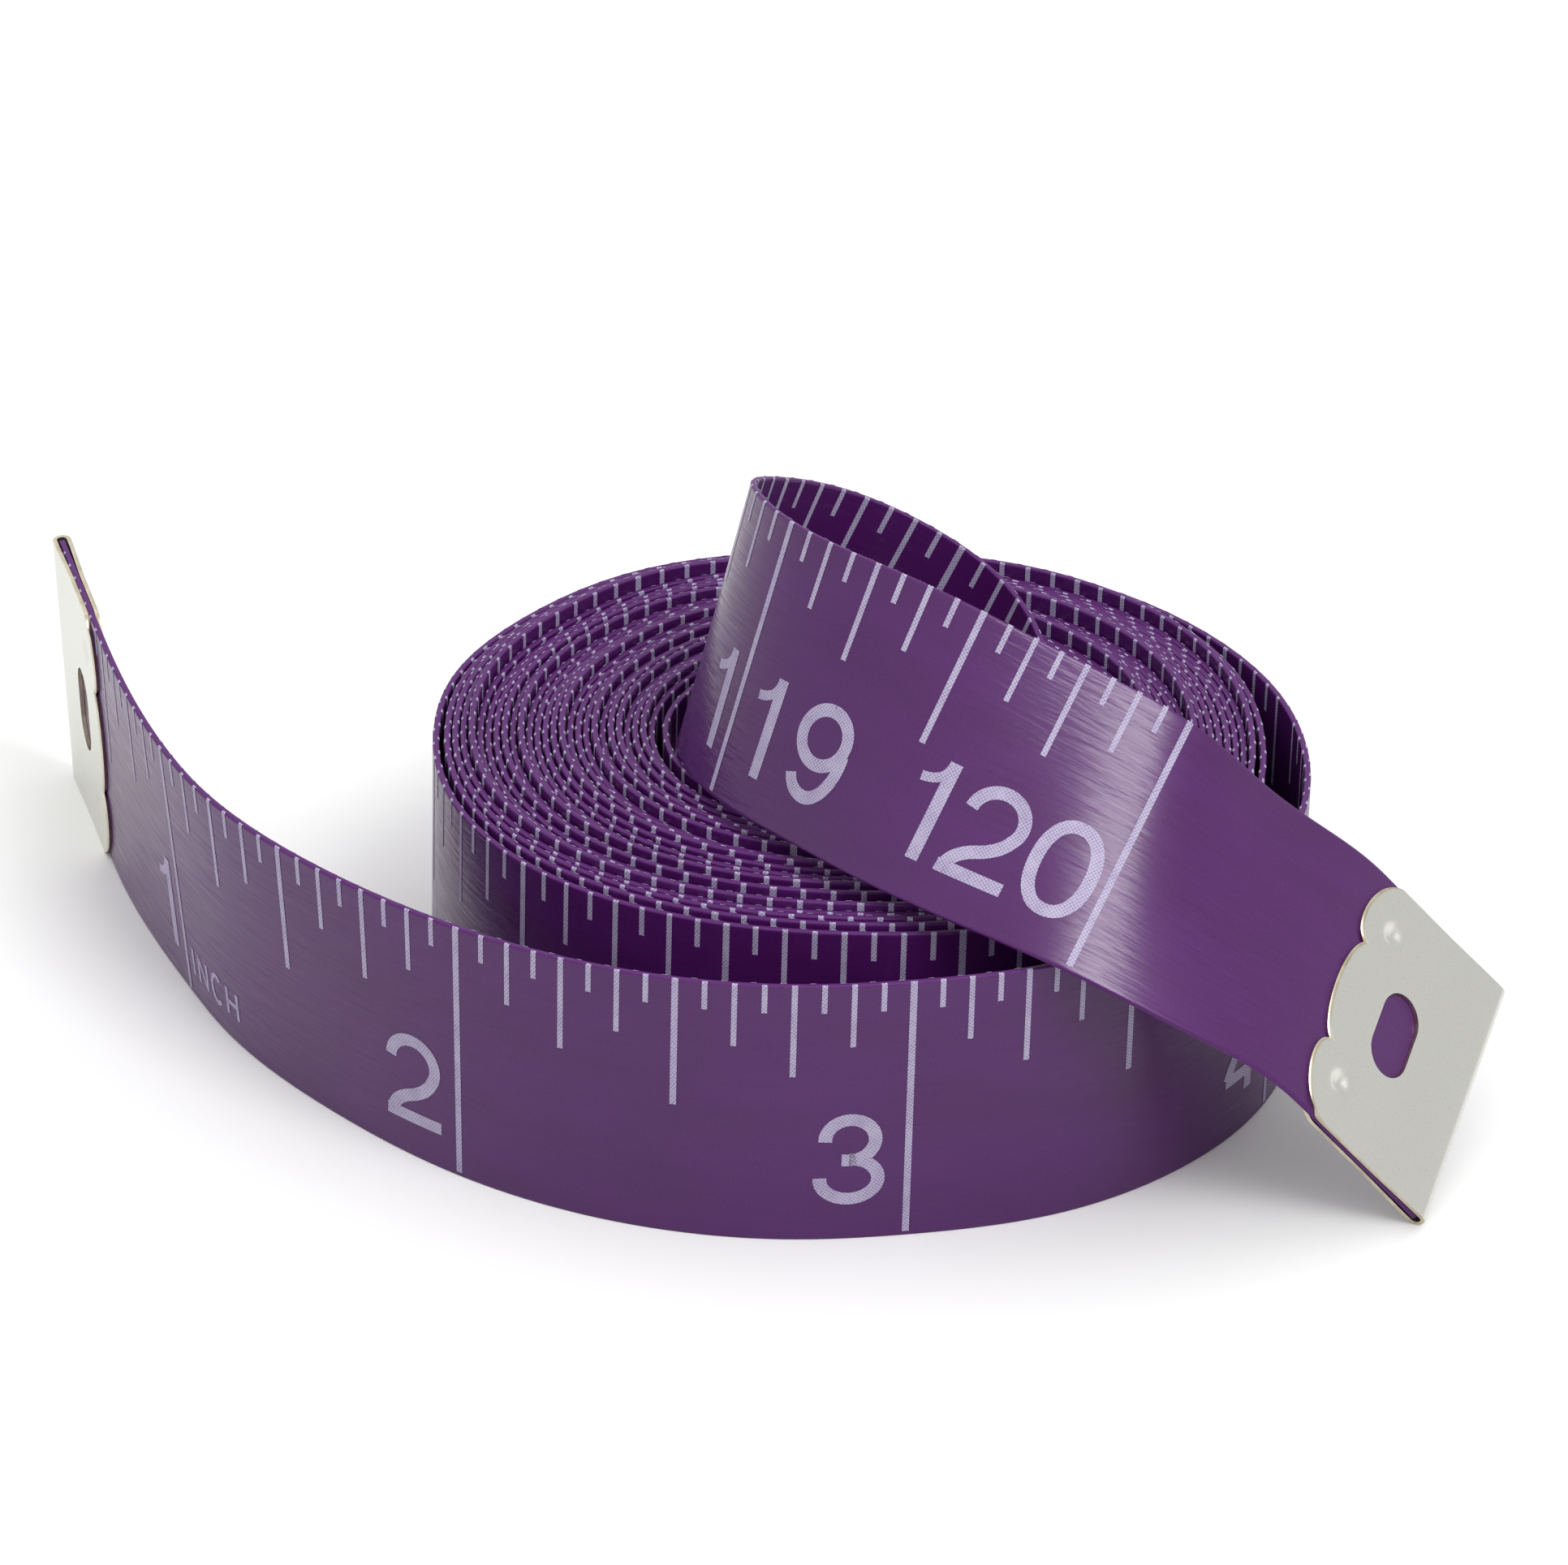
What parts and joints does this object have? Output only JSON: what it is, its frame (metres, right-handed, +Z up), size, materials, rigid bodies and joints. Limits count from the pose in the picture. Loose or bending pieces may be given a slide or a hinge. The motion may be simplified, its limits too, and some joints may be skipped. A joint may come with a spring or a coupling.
{
  "type": "cloth tape measure",
  "caption": "Soft printed sewing tape, loosely coiled on its edge, outer end curling away, inner end looped up over the coil, both ends closed by folded sheet-metal clips.",
  "frame": {"origin": "middle of the part's box in X and Y, on the surface that the tape stands on", "axes": "+Z up, across the tape's width; +X along the longest extent, from the zero end clip towards the far end clip; -Y is the side that the tail hangs over"},
  "size_m": [0.0824, 0.0494, 0.0321],
  "materials": {
    "tape_vinyl": "satin calendered vinyl over glass-fibre cloth, printed",
    "clip_steel": "satin nickel-plated sheet, sheared edges"
  },
  "bodies": {
    "coil": {"tape_coil": "tape_vinyl", "tape_lead": "tape_vinyl", "tape_riser": "tape_vinyl"},
    "lead": {"tape_lead_end": "tape_vinyl", "zero_end_clip": "clip_steel"},
    "tail": {"tape_tail": "tape_vinyl", "far_end_clip": "clip_steel"}
  },
  "joints": [
    {"name": "lead_swing", "type": "hinge", "parent": "coil", "child": "lead", "pos_m": [0.00854, -0.02365, 0], "axis": [0, 0, 1], "range_deg": [-10, 45], "stiffness_Nm_per_rad": 0.0003},
    {"name": "tail_swing", "type": "hinge", "parent": "coil", "child": "tail", "pos_m": [-0.00452, -0.00108, 0.01635], "axis": [-0.229, -0.265, -0.9367], "range_deg": [0, 60], "stiffness_Nm_per_rad": 0.0003}
  ]
}
